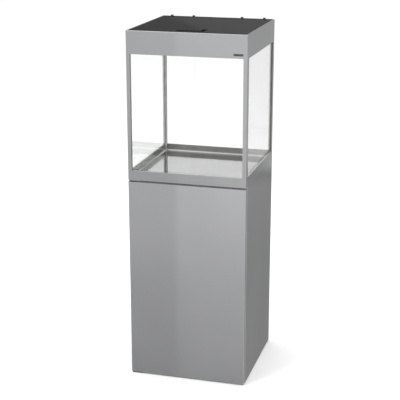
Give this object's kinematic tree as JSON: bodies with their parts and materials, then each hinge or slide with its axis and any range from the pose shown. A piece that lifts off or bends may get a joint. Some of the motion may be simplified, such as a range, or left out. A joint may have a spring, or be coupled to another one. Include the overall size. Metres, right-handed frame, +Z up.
{
  "type": "aquarium on stand",
  "caption": "Cube aquarium on a closed square cabinet, with a silver frame, glass walls, a hood with hinged black lid and feeding flap, and lamps inside.",
  "frame": {"origin": "on the floor, at the centre of the square footprint", "axes": "+Z up, front with the cabinet door towards -Y, +X to the right seen from the front"},
  "size_m": [0.5, 0.5, 1.4905],
  "materials": {
    "silver_lacquer_board": "silver-grey gloss lacquer on board",
    "silver_anodised": "satin silver anodised",
    "clear_glass": "clear float glass",
    "reflective_plate": "reflective grey sheet",
    "black_gloss": "glossy black",
    "black_satin": "satin black",
    "clear_silicone": "translucent sealant",
    "black_rubber": "soft black rubber",
    "grey_foam": "closed-cell foam",
    "steel": "zinc-plated steel",
    "badge_metal": "bright brushed",
    "lamp_tube_clear": "clear tube",
    "led_board": "white circuit board",
    "clear_bumper": "translucent pad"
  },
  "bodies": {
    "stand_and_tank": {"side_panel_left": "silver_lacquer_board", "side_panel_right": "silver_lacquer_board", "top_panel": "silver_lacquer_board", "bottom_panel": "silver_lacquer_board", "back_panel": "silver_lacquer_board", "shelf": "silver_lacquer_board", "cam_locks": "steel", "cam_bolts": "steel", "shelf_pins": "steel", "hose_port_ring": "black_satin", "foot_glides": "black_satin", "pivot_plate_bottom": "steel", "pivot_plate_top": "steel", "pivot_pins": "steel", "pivot_and_latch_screws": "steel", "latch_housing": "black_satin", "base_rail_front": "silver_anodised", "base_rail_right": "silver_anodised", "base_rail_back": "silver_anodised", "base_rail_left": "silver_anodised", "foam_mat": "grey_foam", "reflective_base_plate": "reflective_plate", "glass_bottom": "clear_glass", "glass_front": "clear_glass", "glass_back": "clear_glass", "glass_left": "clear_glass", "glass_right": "clear_glass", "glass_braces": "clear_glass", "silicone_seams": "clear_silicone", "corner_post_front_left": "silver_anodised", "corner_post_front_right": "silver_anodised", "corner_post_back_left": "silver_anodised", "corner_post_back_right": "silver_anodised", "hood_band_front": "silver_anodised", "hood_band_right": "silver_anodised", "hood_band_left": "silver_anodised", "hood_band_back": "silver_anodised", "badge_plate": "badge_metal", "hood_inner_frame": "black_satin", "hood_screws": "steel", "rear_hinge_rail": "black_satin", "lid_hinge_pins": "steel", "lamp_inlet": "black_satin", "cable_grommet": "black_rubber", "lamp_bars": "silver_anodised", "lamp_clips": "black_satin", "lamp_tubes": "lamp_tube_clear", "led_boards": "led_board", "lamp_end_caps": "black_satin", "lamp_leads": "black_rubber"},
    "door": {"door_panel": "silver_lacquer_board", "door_bushes": "black_satin", "strike_plate": "steel", "door_bumpers": "clear_bumper"},
    "lid": {"lid_panel": "black_gloss", "hatch_tray": "black_satin", "flap_pin": "steel"},
    "flap": {"feeding_flap": "black_gloss"},
    "push_latch": {"latch_plunger": "black_satin"}
  },
  "joints": [
    {"name": "door_hinge", "type": "hinge", "parent": "stand_and_tank", "child": "door", "pos_m": [-0.2405, -0.241, 0.43], "axis": [0, 0, -1], "range_deg": [0, 105]},
    {"name": "lid_hinge", "type": "hinge", "parent": "stand_and_tank", "child": "lid", "pos_m": [0, 0.2445, 1.4855], "axis": [-1, 0, 0], "range_deg": [0, 100]},
    {"name": "flap_hinge", "type": "hinge", "parent": "lid", "child": "flap", "pos_m": [-0.014, -0.1325, 1.4824], "axis": [-1, 0, 0], "range_deg": [0, 95]},
    {"name": "latch_press", "type": "slide", "parent": "stand_and_tank", "child": "push_latch", "axis": [0, 1, 0], "range_m": [0, 0.003], "stiffness_N_per_m": 200}
  ]
}
